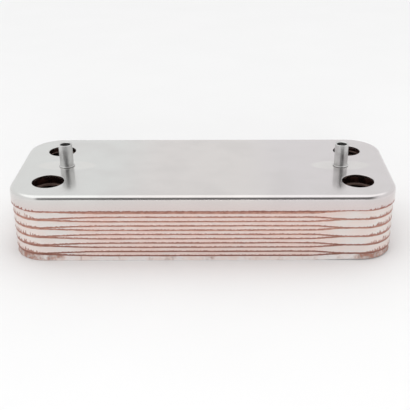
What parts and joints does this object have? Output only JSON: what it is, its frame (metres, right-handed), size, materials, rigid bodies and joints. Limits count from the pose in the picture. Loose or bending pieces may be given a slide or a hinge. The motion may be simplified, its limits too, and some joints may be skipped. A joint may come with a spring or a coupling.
{
  "type": "brazed plate heat exchanger",
  "caption": "Long low brazed nest of flared steel plates under a drawn cover with corner ports and two hollow locating studs.",
  "frame": {"origin": "middle of the base, on the plane of the end plate's rim", "axes": "+X along the length, +Z out of the cover towards the tips of the studs"},
  "size_m": [0.192, 0.078, 0.0473],
  "materials": {
    "stainless_sheet": "satin",
    "tempered_ring": "satin",
    "braze_copper": "satin",
    "turned_steel": "satin"
  },
  "bodies": {
    "root": {"channel_plate_01": "stainless_sheet", "channel_plate_02": "stainless_sheet", "channel_plate_03": "stainless_sheet", "channel_plate_04": "stainless_sheet", "channel_plate_05": "stainless_sheet", "channel_plate_06": "stainless_sheet", "channel_plate_07": "stainless_sheet", "channel_plate_08": "stainless_sheet", "channel_plate_09": "stainless_sheet", "channel_plate_10": "stainless_sheet", "copper_seam_01": "braze_copper", "copper_seam_02": "braze_copper", "copper_seam_03": "braze_copper", "copper_seam_04": "braze_copper", "copper_seam_05": "braze_copper", "copper_seam_06": "braze_copper", "copper_seam_07": "braze_copper", "copper_seam_08": "braze_copper", "copper_seam_09": "braze_copper", "copper_seam_10": "braze_copper", "copper_seam_11": "braze_copper", "cover_plate": "stainless_sheet", "end_plate": "stainless_sheet", "locating_stud_left": "turned_steel", "stud_foot_ring_left": "turned_steel", "locating_stud_right": "turned_steel", "stud_foot_ring_right": "turned_steel", "port_ring_front_left": "tempered_ring", "port_ring_front_right": "tempered_ring", "port_ring_rear_left": "tempered_ring", "port_ring_rear_right": "tempered_ring"}
  },
  "joints": []
}
